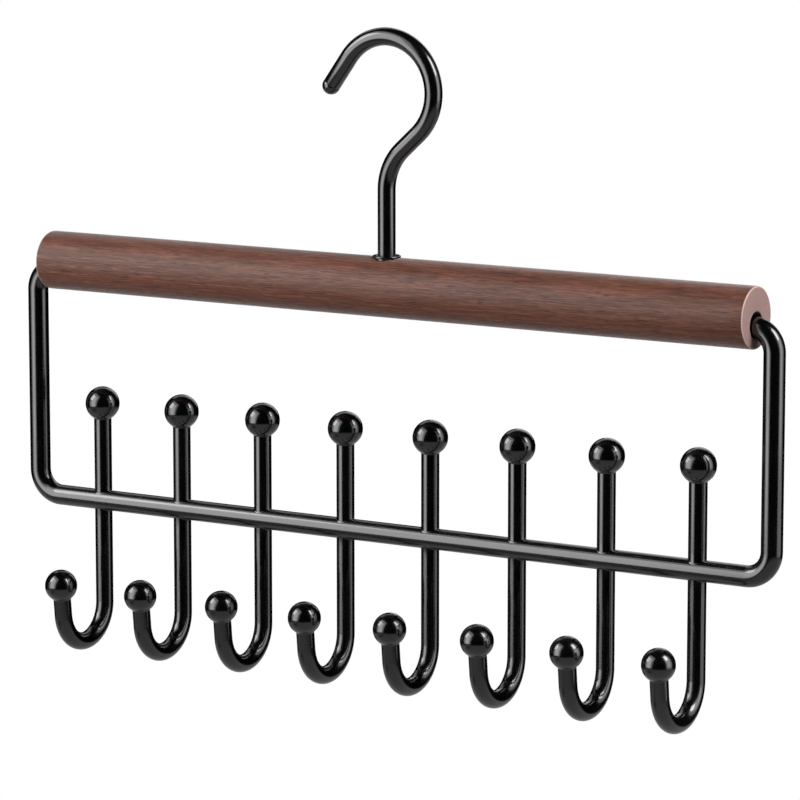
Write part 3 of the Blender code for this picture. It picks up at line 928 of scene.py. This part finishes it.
def room_world():
    """White where the camera looks, black in what mirrors it, and a dim light on the rest, as
    in a studio where only the floor and the soft boxes are lit."""
    world = bpy.data.worlds.new("room")
    world.use_nodes = True
    tree = world.node_tree
    tree.nodes.clear()
    path = add_node(tree, "ShaderNodeLightPath")
    dim = spread(tree, path.outputs["Is Glossy Ray"], 0.0, 1.0, ROOM_LIGHT, 0.0)
    level = add_node(tree, "ShaderNodeMix", data_type="FLOAT")
    feed(tree, level, {"Factor": looked_at(tree, path), "A": dim, "B": 1.0})
    background = add_node(tree, "ShaderNodeBackground")
    feed(tree, background, {"Color": WHITE, "Strength": level.outputs["Result"]})
    output = add_node(tree, "ShaderNodeOutputWorld")
    feed(tree, output, {"Surface": background.outputs["Background"]})
    return world


floor_shape = bmesh.new()
bmesh.ops.create_circle(floor_shape, cap_ends=True, segments=FLOOR_SIDES, radius=FLOOR_RADIUS)
bmesh.ops.translate(floor_shape, vec=UP * FLOOR_Z, verts=floor_shape.verts)
floor_mesh = bpy.data.meshes.new("floor")
floor_shape.to_mesh(floor_mesh)
floor_shape.free()
floor = add_piece("floor", floor_mesh, pale_floor())
bpy.context.scene.world = room_world()


# Soft boxes
# Two groups of soft boxes, each a large one with brighter, smaller ones before it, light the
# hanger from the left and from the right. They give the long highlights on every wire and
# the broad sheen on the bar. Two dim panels behind light the tops and the far edges.
LIT_POINT = Vector((0.0, 0.0, -0.130))


def soft_box(name, bearing, height, reach, width, tall, brightness):
    """A rectangular soft light. bearing is degrees from the front towards the right, height
    is degrees above the horizon, and brightness is the panel's own, where 1 is white."""
    turn, lift = math.radians(bearing), math.radians(height)
    level = math.cos(lift)
    away = Vector((math.sin(turn) * level, -math.cos(turn) * level, math.sin(lift)))
    data = bpy.data.lights.new(name, "AREA")
    data.shape = "RECTANGLE"
    data.size = width
    data.size_y = tall
    data.energy = brightness * math.pi * width * tall
    lamp = bpy.data.objects.new(name, data)
    lamp.location = LIT_POINT + away * reach
    lamp.rotation_euler = away.to_track_quat("Z", "Y").to_euler()
    bpy.context.collection.objects.link(lamp)


# Name, bearing, height, reach from the lit point, width, tallness and brightness
SOFT_BOXES = [
    ("left_wide", -36.5, 20.0, 1.30, 1.38, 1.92, 1.45),
    ("left_middle", -35.0, 14.0, 1.29, 0.70, 1.36, 2.15),
    ("left_core", -56.0, 29.0, 1.28, 0.44, 0.60, 4.30),
    ("right_wide", 103.0, 14.0, 1.30, 1.10, 1.70, 1.10),
    ("right_middle", 100.0, 20.0, 1.29, 0.62, 1.46, 1.70),
    ("right_core", 98.0, 40.0, 1.28, 0.44, 0.62, 8.00),
    ("back_panel", -145.0, 38.0, 1.60, 1.60, 0.70, 0.55),
    ("rear_panel", -168.0, 18.0, 1.60, 1.00, 0.80, 0.70),
]
for box in SOFT_BOXES:
    soft_box(*box)


# Camera
# The camera stands off to the right and a little above the bar, far back with a long lens,
# as the photograph was taken.
LENS_MM = 189.8
SENSOR_MM = 36.0
CAMERA_PLACE = (0.87807, -1.39530, 0.12550)
CAMERA_AIM = (0.006192, 0.0, -0.139745)

camera_data = bpy.data.cameras.new("camera")
camera_data.lens = LENS_MM
camera_data.sensor_width = SENSOR_MM
camera = bpy.data.objects.new("camera", camera_data)
bpy.context.collection.objects.link(camera)
camera.location = CAMERA_PLACE
aim = Vector(CAMERA_AIM) - camera.location
camera.rotation_euler = aim.to_track_quat("-Z", "Y").to_euler()
bpy.context.scene.camera = camera
bpy.context.scene.view_settings.view_transform = "Standard"
